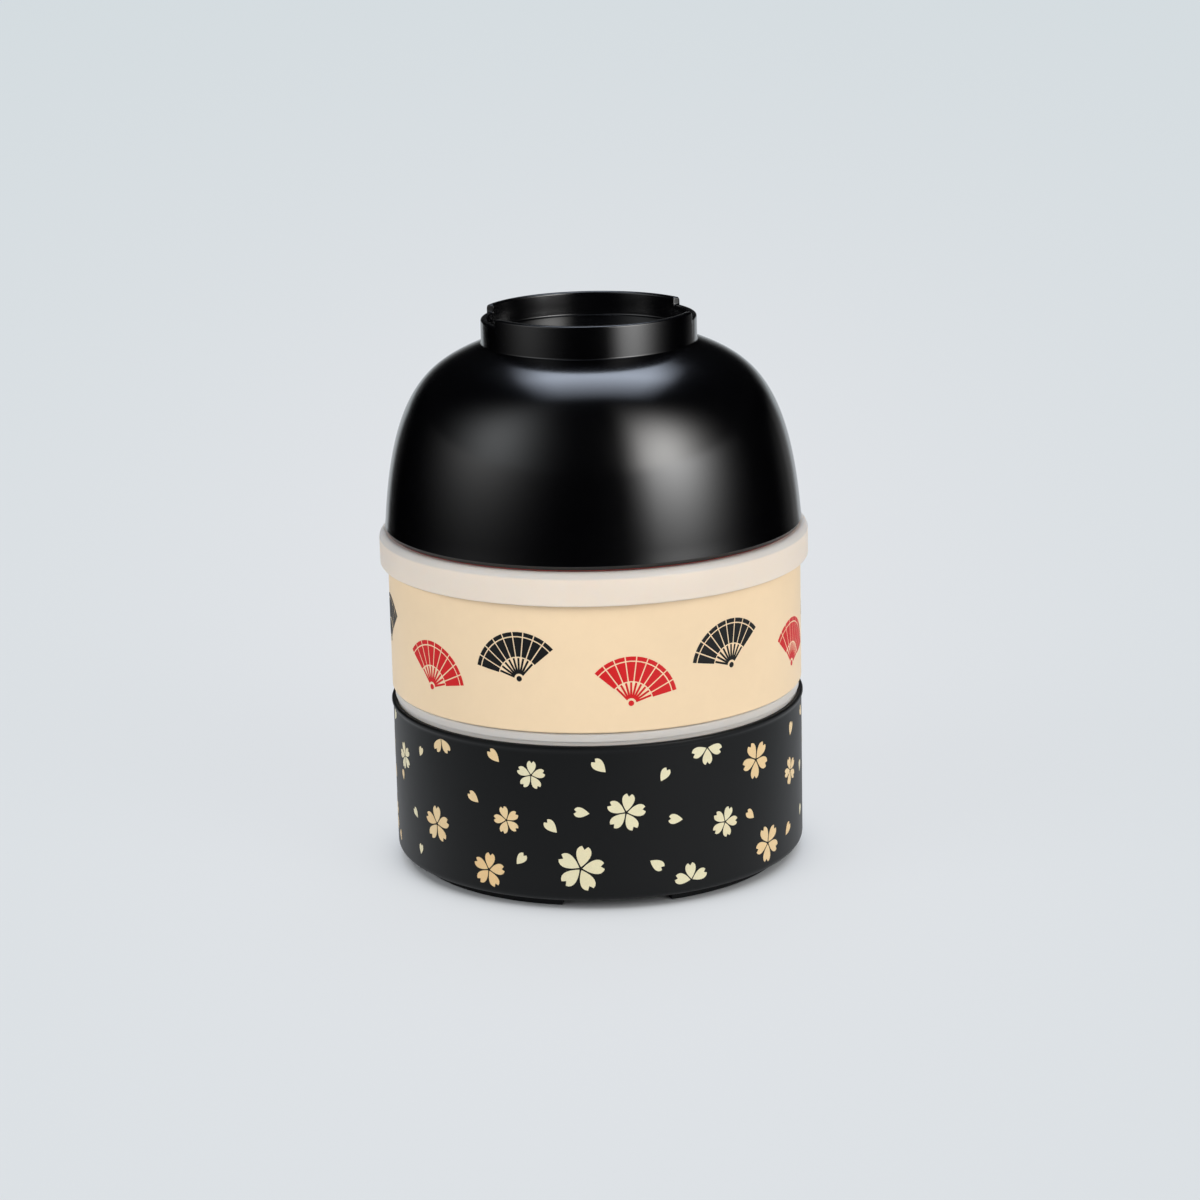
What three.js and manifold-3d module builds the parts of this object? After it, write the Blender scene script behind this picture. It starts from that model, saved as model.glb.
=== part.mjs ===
// Round two-tier lunch box with an upturned soup bowl as its cover.
// Millimetres, +Z up, the origin in the middle of the foot's underside.
// From the bottom: container, plug lid, container with a loose divider, press-on lid, bowl.

import * as THREE from "three";
import { mergeVertices } from "three/addons/utils/BufferGeometryUtils.js";
import Module from "manifold-3d";

// Facets round every turned piece, and along a quarter round or a long curve
const SEGMENTS = 48;
const ROUND_STEPS = 3;
const CURVE_STEPS = 10;

// Fits between pieces that lift apart
const SLIDE_FIT = 0.3;
const SEAT_GAP = 0.3;

// Both containers
const BODY_RADIUS = 55.9;
const WALL = 2.2;
const FLOOR = 2.2;
const INNER_ROUND = 4.5;

// Lower container
const LOWER_HEIGHT = 45.2;
const BASE_ROUND = 2;
const RIM_BEAD_PROUD = 0.4;
const RIM_BEAD_HEIGHT = 1.8;
const RIM_BEAD_SLOPE = 0.8;
const RIM_ROUND = 0.6;
const LIP = 0.9;
const MOUTH_DEPTH = 4.4;
const FOOT_RADIUS = 51.1;
const FOOT_WIDTH = 2.6;
const FOOT_HEIGHT = 2.6;
const FOOT_NOTCH_ARC = 33;
const FOOT_NOTCH_DEPTH = 1.5;
const FOOT_NOTCH_TURN = -85.3;

// Soft lids
const LID_WALL = 1.3;
const LID_PANEL = 1.2;
const LOWER_LID_UPSTAND = 3.2;
const LOWER_LID_FLANGE = 0.5;
const LOWER_LID_FLANGE_HEIGHT = 2.3;
const LOWER_LID_ROUND = 0.5;
const PANEL_BAND = 9;
const PANEL_STEP = 0.6;
const SKIRT_DROP = 7.5;
const SKIRT_ROUND = 1.8;
const PLUG_DEPTH = 5;
const LOCATOR_HEIGHT = 1.8;

// Upper container
const UPPER_WALL_HEIGHT = 41.5;
const SHOULDER_ROUND = 0.5;
const SPIGOT_ROUND = 1.2;
const UPPER_FOOT_WIDTH = 5;
const UPPER_FOOT_RECESS = 0.8;
const SNAP_BEAD_PROUD = 0.5;
const SNAP_BEAD_HEIGHT = 2.2;

// Divider
const DIVIDER_THICKNESS = 1.6;
const DIVIDER_FOOT_WIDTH = 9;
const DIVIDER_TOP_CLEARANCE = 1;

// Soup bowl, upside down
const BOWL_OVERHANG = 0.45;
const BOWL_HEIGHT = 58.35;
const BOWL_WALL = 2;
const BOWL_BASE = 2.6;
const RIM_BEVEL = 1.2;
const SIDE_TAPER = 2.7;
const SHOULDER_DROP = 9.9;
const CROWN_REACH = 13.5;
const CROWN_DROP = 5.5;
const CROWN_RISE = 1.4;
const BOWL_FOOT_RADIUS = 28.9;
const BOWL_FOOT_HEIGHT = 8.6;
const BOWL_FOOT_WIDTH = 1.9;
const BOWL_FOOT_ROUND = 0.5;
const BOWL_NOTCH_ARC = 50;
const BOWL_NOTCH_DEPTH = 2;
const BOWL_NOTCH_TURN = 186.2;
const WELL_BAND = 8;
const WELL_STEP = 0.4;

// Heights at which the pieces meet
const lowerFloor = FOOT_HEIGHT + FLOOR;
const mouthLedge = LOWER_HEIGHT - MOUTH_DEPTH;
const lowerLidBottom = mouthLedge + SEAT_GAP;
const lowerLidTop = LOWER_HEIGHT + LOWER_LID_UPSTAND;
const spigotBottom = lowerLidBottom + LID_PANEL + SEAT_GAP;
const shoulder = lowerLidTop + SEAT_GAP;
const upperFloor = spigotBottom + UPPER_FOOT_RECESS + FLOOR;
const upperLedge = shoulder + FLOOR;
const upperRim = shoulder + UPPER_WALL_HEIGHT;
const webBottom = upperRim + SEAT_GAP;
const webTop = webBottom + LID_PANEL;
const panelBottom = webBottom - PLUG_DEPTH;
const bowlRim = webTop + SEAT_GAP;
const bowlTop = bowlRim + BOWL_HEIGHT;
const bowlShellTop = bowlTop - BOWL_FOOT_HEIGHT;

// Radii at which the pieces meet
const insideRadius = BODY_RADIUS - WALL;
const mouthRadius = BODY_RADIUS - LIP;
const lowerLidRadius = mouthRadius - SLIDE_FIT;
const dishRadius = lowerLidRadius - LID_WALL;
const spigotRadius = dishRadius - SLIDE_FIT;
const spigotInside = spigotRadius - WALL;
const plugRadius = insideRadius - SLIDE_FIT;
const plugInside = plugRadius - LID_WALL;
const skirtInside = BODY_RADIUS + SNAP_BEAD_PROUD + SLIDE_FIT;
const skirtRadius = skirtInside + LID_WALL;
const bowlRimRadius = BODY_RADIUS + BOWL_OVERHANG;
const bowlMouthRadius = bowlRimRadius - BOWL_WALL;
const locatorRadius = bowlMouthRadius - SLIDE_FIT;

const wasm = await Module();
wasm.setup();

// Helpers

// Profile in radius and height that is drawn with straight runs and rounded corners.
class Profile {
  constructor(r, z) {
    this.points = [new THREE.Vector2(r, z)];
  }

  to(r, z) {
    this.points.push(new THREE.Vector2(r, z));
    return this;
  }

  // Corner at (r, z), rounded between the last point and the next one at (r2, z2).
  corner(r, z, radius, r2, z2) {
    const tip = new THREE.Vector2(r, z);
    const last = this.points[this.points.length - 1];
    const back = last.clone().sub(tip).normalize();
    const ahead = new THREE.Vector2(r2, z2).sub(tip).normalize();
    const half = Math.acos(THREE.MathUtils.clamp(back.dot(ahead), -1, 1)) / 2;
    const reach = radius / Math.tan(half);
    const centre = back.clone().add(ahead).normalize();
    centre.multiplyScalar(radius / Math.sin(half)).add(tip);
    const from = tip.clone().addScaledVector(back, reach).sub(centre).angle();
    const upTo = tip.clone().addScaledVector(ahead, reach).sub(centre).angle();
    let sweep = upTo - from;
    if (sweep > Math.PI) sweep -= 2 * Math.PI;
    if (sweep < -Math.PI) sweep += 2 * Math.PI;
    for (let step = 0; step <= ROUND_STEPS; step += 1) {
      const angle = from + (sweep * step) / ROUND_STEPS;
      this.to(centre.x + radius * Math.cos(angle), centre.y + radius * Math.sin(angle));
    }
    return this;
  }

  along(points) {
    points.forEach((point) => this.to(point.x, point.y));
    return this;
  }
}

// Solid turned round the Z axis from a profile that starts and ends on the axis.
function turned(profile) {
  return new THREE.LatheGeometry(profile.points, SEGMENTS).rotateX(Math.PI / 2);
}

function solidFrom(geometry) {
  const bare = geometry.clone();
  bare.deleteAttribute("normal");
  bare.deleteAttribute("uv");
  const merged = mergeVertices(bare);
  return new wasm.Manifold(
    new wasm.Mesh({
      numProp: 3,
      vertProperties: new Float32Array(merged.attributes.position.array),
      triVerts: new Uint32Array(merged.index.array),
    }),
  );
}

function geometryFrom(solid) {
  const mesh = solid.getMesh();
  const geometry = new THREE.BufferGeometry();
  geometry.setAttribute("position", new THREE.BufferAttribute(mesh.vertProperties, mesh.numProp));
  geometry.setIndex(new THREE.BufferAttribute(mesh.triVerts, 1));
  geometry.computeVertexNormals();
  return geometry;
}

// Sector of a ring that cuts one notch, centred at the angle turn in degrees.
function notchCutter(inside, outside, arc, turn, bottom, height) {
  const half = THREE.MathUtils.degToRad(arc) / 2;
  const sector = new THREE.Shape();
  sector.absarc(0, 0, outside, -half, half, false);
  sector.absarc(0, 0, inside, half, -half, true);
  const options = { depth: height, bevelEnabled: false, curveSegments: ROUND_STEPS };
  const geometry = new THREE.ExtrudeGeometry(sector, options);
  geometry.rotateZ(THREE.MathUtils.degToRad(turn)).translate(0, 0, bottom);
  return solidFrom(geometry);
}

// Two opposite notches taken out of a foot ring.
function notched(geometry, ring) {
  let solid = solidFrom(geometry);
  const inside = ring.radius - ring.width - SLIDE_FIT;
  const outside = ring.radius + SLIDE_FIT;
  for (const side of [0, 180]) {
    const turn = ring.turn + side;
    solid = solid.subtract(notchCutter(inside, outside, ring.arc, turn, ring.bottom, ring.height));
  }
  return geometryFrom(solid);
}

// Pieces

function lowerContainer() {
  const footInside = FOOT_RADIUS - FOOT_WIDTH;
  const beadRadius = BODY_RADIUS + RIM_BEAD_PROUD;
  const beadBottom = LOWER_HEIGHT - RIM_BEAD_HEIGHT;
  const profile = new Profile(0, FOOT_HEIGHT)
    .to(footInside, FOOT_HEIGHT)
    .to(footInside, 0)
    .to(FOOT_RADIUS, 0)
    .to(FOOT_RADIUS, FOOT_HEIGHT)
    .corner(BODY_RADIUS, FOOT_HEIGHT, BASE_ROUND, BODY_RADIUS, beadBottom)
    .to(BODY_RADIUS, beadBottom)
    .to(beadRadius, beadBottom + RIM_BEAD_SLOPE)
    .corner(beadRadius, LOWER_HEIGHT, RIM_ROUND, mouthRadius, LOWER_HEIGHT)
    .to(mouthRadius, LOWER_HEIGHT)
    .to(mouthRadius, mouthLedge)
    .to(insideRadius, mouthLedge)
    .corner(insideRadius, lowerFloor, INNER_ROUND, 0, lowerFloor)
    .to(0, lowerFloor);
  return notched(turned(profile), {
    radius: FOOT_RADIUS,
    width: FOOT_WIDTH,
    arc: FOOT_NOTCH_ARC,
    turn: FOOT_NOTCH_TURN,
    bottom: -SLIDE_FIT,
    height: FOOT_NOTCH_DEPTH + SLIDE_FIT,
  });
}

function lowerSealLid() {
  const panelTop = lowerLidBottom + LID_PANEL;
  const bandInside = dishRadius - PANEL_BAND;
  const flangeRadius = lowerLidRadius + LOWER_LID_FLANGE;
  const flangeBottom = lowerLidTop - LOWER_LID_FLANGE_HEIGHT;
  const profile = new Profile(0, lowerLidBottom - PANEL_STEP)
    .to(bandInside - PANEL_STEP, lowerLidBottom - PANEL_STEP)
    .to(bandInside, lowerLidBottom)
    .corner(lowerLidRadius, lowerLidBottom, LOWER_LID_ROUND, lowerLidRadius, flangeBottom)
    .to(lowerLidRadius, flangeBottom)
    .corner(flangeRadius, flangeBottom, LOWER_LID_FLANGE / 2, flangeRadius, lowerLidTop)
    .corner(flangeRadius, lowerLidTop, LOWER_LID_ROUND, dishRadius, lowerLidTop)
    .to(dishRadius, lowerLidTop)
    .to(dishRadius, panelTop)
    .to(bandInside - PANEL_STEP, panelTop)
    .to(bandInside - 2 * PANEL_STEP, panelTop - PANEL_STEP)
    .to(0, panelTop - PANEL_STEP);
  return turned(profile);
}

// Inside of the upper container, from its rim to the middle of its floor, gap away from the wall.
function upperInside(profile, gap) {
  const round = INNER_ROUND - gap;
  return profile
    .to(insideRadius - gap, upperLedge + WALL + gap)
    .to(spigotInside - gap, upperLedge + gap)
    .corner(spigotInside - gap, upperFloor + gap, round, 0, upperFloor + gap)
    .to(0, upperFloor + gap);
}

function upperContainer() {
  const footInside = spigotRadius - UPPER_FOOT_WIDTH;
  const recess = spigotBottom + UPPER_FOOT_RECESS;
  const beadRadius = BODY_RADIUS + SNAP_BEAD_PROUD;
  const beadBottom = upperRim - SNAP_BEAD_HEIGHT;
  const profile = new Profile(0, recess)
    .to(footInside - UPPER_FOOT_RECESS, recess)
    .to(footInside, spigotBottom)
    .corner(spigotRadius, spigotBottom, SPIGOT_ROUND, spigotRadius, shoulder)
    .to(spigotRadius, shoulder)
    .corner(BODY_RADIUS, shoulder, SHOULDER_ROUND, BODY_RADIUS, beadBottom)
    .to(BODY_RADIUS, beadBottom)
    .to(beadRadius, beadBottom + SNAP_BEAD_PROUD)
    .to(beadRadius, upperRim - SNAP_BEAD_PROUD)
    .to(BODY_RADIUS, upperRim)
    .to(insideRadius, upperRim);
  return turned(upperInside(profile, 0));
}

// Upright plate on a broad foot, trimmed at its ends to the inside of the upper container.
function foodDivider() {
  const bottom = upperFloor + SEAT_GAP;
  const top = panelBottom - DIVIDER_TOP_CLEARANCE;
  const half = DIVIDER_THICKNESS / 2;
  const halfFoot = DIVIDER_FOOT_WIDTH / 2;
  const section = new THREE.Shape();
  section.moveTo(-halfFoot, bottom);
  section.lineTo(halfFoot, bottom);
  section.quadraticCurveTo(half, bottom + half, half, bottom + halfFoot);
  section.lineTo(half, top - half);
  section.absarc(0, top - half, half, 0, Math.PI, false);
  section.lineTo(-half, bottom + halfFoot);
  section.quadraticCurveTo(-half, bottom + half, -halfFoot, bottom);
  const options = { depth: 2 * BODY_RADIUS, bevelEnabled: false, curveSegments: 2 * ROUND_STEPS };
  const bar = new THREE.ExtrudeGeometry(section, options);
  bar.rotateX(Math.PI / 2).rotateZ(Math.PI / 2).translate(-BODY_RADIUS, 0, 0);
  const room = new Profile(0, upperRim).to(insideRadius - SLIDE_FIT, upperRim);
  upperInside(room, SLIDE_FIT);
  room.points.reverse();
  return geometryFrom(solidFrom(bar).intersect(solidFrom(turned(room))));
}

function upperSealLid() {
  const panelTop = panelBottom + LID_PANEL;
  const skirtBottom = webBottom - SKIRT_DROP;
  const locatorTop = webTop + LOCATOR_HEIGHT;
  const bandInside = plugInside - PANEL_BAND;
  const edge = LID_WALL / 2;
  const profile = new Profile(0, panelBottom + PANEL_STEP)
    .to(bandInside - PANEL_STEP, panelBottom + PANEL_STEP)
    .to(bandInside, panelBottom)
    .corner(plugRadius, panelBottom, edge, plugRadius, webBottom)
    .to(plugRadius, webBottom)
    .to(skirtInside, webBottom)
    .to(skirtInside, skirtBottom)
    .corner(skirtRadius, skirtBottom, edge, skirtRadius, webTop)
    .corner(skirtRadius, webTop, SKIRT_ROUND, locatorRadius, webTop)
    .to(locatorRadius, webTop)
    .corner(locatorRadius, locatorTop, edge, plugInside, locatorTop)
    .to(plugInside, locatorTop)
    .to(plugInside, panelTop)
    .to(bandInside, panelTop)
    .to(bandInside - PANEL_STEP, panelTop + PANEL_STEP)
    .to(0, panelTop + PANEL_STEP);
  return turned(profile);
}

function soupBowl() {
  const ringTop = bowlTop;
  const ringInside = BOWL_FOOT_RADIUS - BOWL_FOOT_WIDTH;
  const side = new THREE.CubicBezierCurve(
    new THREE.Vector2(bowlRimRadius, bowlRim),
    new THREE.Vector2(bowlRimRadius - SIDE_TAPER, bowlShellTop - SHOULDER_DROP),
    new THREE.Vector2(BOWL_FOOT_RADIUS + CROWN_REACH, bowlShellTop - CROWN_DROP),
    new THREE.Vector2(BOWL_FOOT_RADIUS, bowlShellTop),
  );
  const outer = [];
  const inner = [];
  for (let step = 1; step <= CURVE_STEPS; step += 1) {
    const share = step / CURVE_STEPS;
    const point = side.getPoint(share);
    const run = side.getTangent(share);
    outer.push(point);
    inner.push(new THREE.Vector2(point.x - BOWL_WALL * run.y, point.y + BOWL_WALL * run.x));
  }
  const crown = inner[inner.length - 1];
  const ceiling = crown.y + CROWN_RISE;
  const slope = side.getTangent(1);
  const crownTip = new THREE.Vector2(crown.x + (CROWN_RISE * slope.x) / slope.y, ceiling);
  const middle = new THREE.QuadraticBezierCurve(new THREE.Vector2(0, ceiling), crownTip, crown);
  const well = ceiling + BOWL_BASE;
  const profile = new Profile(0, ceiling)
    .along(middle.getPoints(ROUND_STEPS + 1).slice(1))
    .along(inner.slice(0, -1).reverse())
    .to(bowlMouthRadius, bowlRim)
    .to(bowlRimRadius - RIM_BEVEL / 2, bowlRim)
    .to(bowlRimRadius, bowlRim + RIM_BEVEL)
    .along(outer)
    .corner(BOWL_FOOT_RADIUS, ringTop, BOWL_FOOT_ROUND, ringInside, ringTop)
    .corner(ringInside, ringTop, BOWL_FOOT_ROUND, ringInside, well)
    .to(ringInside, well)
    .to(ringInside - WELL_BAND, well)
    .to(ringInside - WELL_BAND - WELL_STEP, well + WELL_STEP)
    .to(0, well + WELL_STEP);
  return notched(turned(profile), {
    radius: BOWL_FOOT_RADIUS,
    width: BOWL_FOOT_WIDTH,
    arc: BOWL_NOTCH_ARC,
    turn: BOWL_NOTCH_TURN,
    bottom: ringTop - BOWL_NOTCH_DEPTH,
    height: BOWL_NOTCH_DEPTH + SLIDE_FIT,
  });
}

// Assembly

function piece(name, geometry, color, roughness, extra) {
  const material = new THREE.MeshStandardMaterial({ color, roughness, metalness: 0, ...extra });
  const mesh = new THREE.Mesh(geometry, material);
  mesh.name = name;
  return mesh;
}

const milky = { transparent: true, opacity: 0.75 };
const bento = new THREE.Group();
bento.add(
  piece("lower_container", lowerContainer(), 0x1a1b1e, 0.4, {}),
  piece("lower_seal_lid", lowerSealLid(), 0xe4ded6, 0.5, milky),
  piece("upper_container", upperContainer(), 0xf0dab4, 0.45, {}),
  piece("food_divider", foodDivider(), 0xf0dab4, 0.5, {}),
  piece("upper_seal_lid", upperSealLid(), 0xeee2d4, 0.5, milky),
  piece("soup_bowl", soupBowl(), 0x0e1014, 0.3, {}),
);

export default bento;
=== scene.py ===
"""Finishes, prints and stage of a round two-tier lunch box with an upturned soup bowl as its cover."""

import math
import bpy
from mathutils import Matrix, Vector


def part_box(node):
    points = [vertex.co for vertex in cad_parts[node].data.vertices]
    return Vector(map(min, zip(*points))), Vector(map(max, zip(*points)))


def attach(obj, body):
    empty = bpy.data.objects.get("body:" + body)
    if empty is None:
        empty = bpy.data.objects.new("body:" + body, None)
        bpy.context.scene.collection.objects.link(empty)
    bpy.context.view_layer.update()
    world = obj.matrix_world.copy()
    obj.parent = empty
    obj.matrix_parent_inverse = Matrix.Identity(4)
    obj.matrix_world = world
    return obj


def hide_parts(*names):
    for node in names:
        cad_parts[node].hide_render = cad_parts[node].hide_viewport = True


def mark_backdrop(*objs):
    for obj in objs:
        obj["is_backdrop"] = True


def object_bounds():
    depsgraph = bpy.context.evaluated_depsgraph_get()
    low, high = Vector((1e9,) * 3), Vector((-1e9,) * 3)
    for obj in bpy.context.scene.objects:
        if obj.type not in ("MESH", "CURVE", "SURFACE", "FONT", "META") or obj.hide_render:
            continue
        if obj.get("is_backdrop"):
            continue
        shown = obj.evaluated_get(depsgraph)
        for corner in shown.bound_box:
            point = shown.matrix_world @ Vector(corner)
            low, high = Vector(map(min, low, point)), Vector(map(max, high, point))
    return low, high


bl_info = {
    "name": "Round Lunch Box",
    "version": (1, 0, 0),
    "blender": (4, 5, 0),
    "location": "View3D > Sidebar > Lunch Box",
    "description": "Makes the finished pieces of a round two-tier lunch box and sets its stage",
    "category": "Object",
}

from typing import NamedTuple

import bpy
from mathutils import Matrix, Vector

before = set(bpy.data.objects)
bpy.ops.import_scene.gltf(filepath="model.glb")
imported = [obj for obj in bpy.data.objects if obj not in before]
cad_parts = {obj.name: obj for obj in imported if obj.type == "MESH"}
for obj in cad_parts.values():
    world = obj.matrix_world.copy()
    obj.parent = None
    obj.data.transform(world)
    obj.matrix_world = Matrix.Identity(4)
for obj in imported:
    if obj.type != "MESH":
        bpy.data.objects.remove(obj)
CAD_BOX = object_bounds()

MM = 0.001
COLUMNS = 192
CORNER_STEPS = 6
SIDE_STEPS = 48
CROWN_STEPS = 10
NOTCH_STEPS = 5
PETAL_STEPS = 10
BLADE_STEPS = 6
RIVET_STEPS = 20
SCREEN_STEPS = 60
SHARP_EDGE = math.radians(35)
WELD = 0.0005 * MM
NOTCH_SLOPE = 0.02 * MM


# Properties

def linear(value):
    """Linear share of a colour value that is written from 0 to 255."""
    part = value / 255
    return part / 12.92 if part <= 0.04045 else ((part + 0.055) / 1.055) ** 2.4


def number(label, words, value, **kind):
    return bpy.props.FloatProperty(name=label, description=words, default=value, **kind)


def length(label, words, millimetres):
    return number(label, words, millimetres * MM, precision=5, subtype="DISTANCE", unit="LENGTH")


def angle(label, words, degrees):
    return number(label, words, math.radians(degrees), subtype="ANGLE", unit="ROTATION")


def share(label, words, value):
    return number(label, words, value, min=0.0, max=1.0, subtype="FACTOR")


def level(label, words, value):
    return number(label, words, value, min=0.0)


def power(label, words, watts):
    return number(label, words, watts, min=0.0, subtype="POWER", unit="POWER")


def focus(label, words, millimetres):
    return number(label, words, millimetres, min=1.0, subtype="DISTANCE_CAMERA", unit="CAMERA")


def count(label, words, value):
    return bpy.props.IntProperty(name=label, description=words, default=value, min=1)


def colour(label, words, red, green, blue):
    return bpy.props.FloatVectorProperty(
        name=label, description=words, default=(linear(red), linear(green), linear(blue)),
        min=0.0, max=1.0, size=3, subtype="COLOR")


class ContainerSizes(bpy.types.PropertyGroup):
    """Sizes that both containers share."""

    wall: length("Wall", "Thickness of the walls", 2.2)
    floor: length("Floor", "Thickness of the floors", 2.2)
    inner_round: length("Inner round", "Radius between floor and wall inside", 4.5)
    edge: length("Edge", "Radius of the small edges", 0.35)


class LowerContainerSizes(bpy.types.PropertyGroup):
    """Sizes of the lower container."""

    base_round: length("Base round", "Radius at the bottom of the wall", 2.0)
    bead_proud: length("Bead", "How far the rim bead stands out", 0.4)
    bead_height: length("Bead height", "Height of the rim bead", 1.8)
    bead_slope: length("Bead slope", "Height of the slope under the rim bead", 0.8)
    rim_round: length("Rim round", "Radius over the rim bead", 0.6)
    lip: length("Lip", "Thickness of the wall round the mouth", 0.9)
    mouth_depth: length("Mouth depth", "Depth of the seat for the lid", 4.4)
    foot_radius: length("Foot radius", "Outer radius of the foot ring", 51.1)
    foot_width: length("Foot width", "Width of the foot ring", 2.6)
    foot_height: length("Foot height", "Height of the foot ring", 2.6)
    notch_arc: angle("Notch arc", "Length of a notch in the foot ring", 33.0)
    notch_depth: length("Notch depth", "Depth of a notch in the foot ring", 1.5)
    notch_turn: angle("Notch turn", "Place of the first notch round the axis", -85.3)


class UpperContainerSizes(bpy.types.PropertyGroup):
    """Sizes of the upper container."""

    wall_height: length("Wall height", "Height from the shoulder to the rim", 41.5)
    shoulder_round: length("Shoulder round", "Radius at the bottom of the wall", 0.5)
    spigot_radius: length("Spigot radius", "Radius of the base that sits in the lower lid", 53.1)
    spigot_round: length("Spigot round", "Radius at the bottom of the base", 1.2)
    foot_width: length("Foot width", "Width of the ring under the base", 5.0)
    recess: length("Recess", "Height of the hollow under the base", 0.8)
    bead_proud: length("Bead", "How far the bead under the upper lid stands out", 0.5)
    bead_height: length("Bead height", "Height of the bead under the upper lid", 2.2)


class LidSizes(bpy.types.PropertyGroup):
    """Sizes of the two soft lids."""

    wall: length("Wall", "Thickness of the upright walls", 1.3)
    panel: length("Panel", "Thickness of the panels", 1.2)
    band: length("Band", "Width of the flat band round a panel", 9.0)
    step: length("Step", "Step between a panel's band and its middle", 0.6)
    edge: length("Edge", "Radius of the small edges", 0.5)
    flange: length("Flange", "How far the flange of the lower lid stands out", 0.5)
    flange_height: length("Flange height", "Height of the flange of the lower lid", 2.3)
    skirt_round: length("Skirt round", "Radius over the skirt of the upper lid", 1.8)
    plug_radius: length("Plug radius", "Radius of the plug in the upper container", 53.4)
    plug_depth: length("Plug depth", "Depth of the plug in the upper container", 5.0)
    locator_radius: length("Locator radius", "Radius of the ring inside the bowl's rim", 54.05)
    locator_height: length("Locator height", "Height of the ring inside the bowl's rim", 1.8)


class DividerSizes(bpy.types.PropertyGroup):
    """Sizes of the food divider."""

    thickness: length("Thickness", "Thickness of the upright plate", 1.6)
    foot_width: length("Foot width", "Width of the foot of the plate", 9.0)
    fit: length("Fit", "Gap between the plate's ends and the container", 0.3)


class BowlSizes(bpy.types.PropertyGroup):
    """Sizes of the soup bowl, which stands upside down."""

    wall: length("Wall", "Thickness of the side", 2.0)
    base: length("Base", "Thickness of the base inside the foot ring", 2.6)
    rim_bevel: length("Rim bevel", "Height of the bevel round the rim", 1.2)
    red_edge: length("Red edge", "How far the inner colour shows on the rim's bevel", 0.15)
    edge: length("Edge", "Radius of the small edges", 0.15)
    side_taper: length("Side taper", "How far the side leans in", 2.7)
    shoulder_drop: length("Shoulder drop", "Distance of the shoulder's knot from the crown", 9.9)
    crown_reach: length("Crown reach", "Distance of the crown's knot from the foot ring", 13.5)
    crown_drop: length("Crown drop", "Drop of the crown's knot", 5.5)
    crown_rise: length("Crown rise", "Rise of the inside towards the axis", 1.4)
    foot_radius: length("Foot radius", "Outer radius of the foot ring", 28.9)
    foot_height: length("Foot height", "Height of the foot ring over the crown", 8.6)
    foot_width: length("Foot width", "Width of the foot ring", 1.9)
    foot_round: length("Foot round", "Radius of the foot ring's edges", 0.5)
    notch_arc: angle("Notch arc", "Length of a notch in the foot ring", 50.0)
    notch_depth: length("Notch depth", "Depth of a notch in the foot ring", 2.0)
    notch_turn: angle("Notch turn", "Place of the first notch round the axis", 186.2)
    well_band: length("Well band", "Width of the low band inside the foot ring", 8.0)
    well_step: length("Well step", "Height of the step inside the foot ring", 0.4)


class PrintSizes(bpy.types.PropertyGroup):
    """Sizes of the two prints."""

    film: length("Film", "Thickness of the printed ink over the wall", 0.035)
    root: length("Root", "Depth of the ink in the wall", 0.035)
    petal_width: share("Petal width", "Widest part of a petal against its length", 0.62)
    petal_cleft: share("Petal cleft", "Depth of the cleft in a petal's tip against its length", 0.17)
    petal_gap: share("Petal gap", "Distance of a petal's base from the blossom's middle", 0.07)
    fans: count("Fans", "Number of fans round the wall", 12)
    blades: count("Blades", "Number of blades in a fan", 9)
    fan_radius: length("Fan radius", "Length of a fan from its pivot", 12.5)
    leaf_depth: length("Leaf depth", "Depth of the leaf of a fan", 6.6)
    hem: length("Hem", "Depth of the border along the leaf", 1.1)
    line: length("Line", "Width of the bare lines in a fan", 0.32)
    stick: length("Stick", "Width of a stick of a fan", 0.55)
    pivot: length("Pivot", "Radius of the pivot of a fan", 0.75)
    opening: angle("Opening", "How far a fan is open", 128.0)
    tilt: angle("Tilt", "How far the fans lean to one side and the other", 15.0)
    stagger: length("Stagger", "How far the fans sit above and below their middle line", 3.2)
    first_fan: angle("First fan", "Place of the first fan round the wall", 9.0)
    fan_height: length("Fan height", "Height of the pivots over the shoulder", 11.0)


class Finishes(bpy.types.PropertyGroup):
    """Colours and gloss of the surfaces."""

    black_satin: colour("Black satin", "Coat of the lower container", 6, 7, 8)
    black_lacquer: colour("Black lacquer", "Coat of the bowl's outside", 2, 2, 3)
    red_lacquer: colour("Red lacquer", "Coat of the bowl's inside", 150, 22, 22)
    cream_satin: colour("Cream satin", "Coat of the upper container", 238, 211, 174)
    cream_moulding: colour("Cream moulding", "Bare plastic inside the upper container", 236, 219, 190)
    milky: colour("Milky", "Plastic of the two lids", 220, 214, 207)
    # Painted show-through: the cream wall's light seen through a lid, laid into the lid's colour
    milky_painted_show_through: colour("Warm milky", "Plastic of a lid where the cream wall shows through", 253, 236, 220)
    pale_gold: colour("Pale gold", "Lighter ink of the blossoms", 233, 225, 188)
    # Partly painted reflection: the warm gold on side blossoms stands for the surroundings reflected in
    # the gold
    warm_gold_ink_and_reflection: colour("Warm gold", "Warmer ink of the blossoms", 240, 203, 147)
    red_ink: colour("Red ink", "First ink of the fans", 205, 22, 26)
    black_ink: colour("Black ink", "Second ink of the fans", 16, 16, 17)
    lacquer_gloss: share("Lacquer roughness", "Roughness of the bowl", 0.17)
    satin_gloss: share("Satin roughness", "Roughness of the containers", 0.43)


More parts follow.
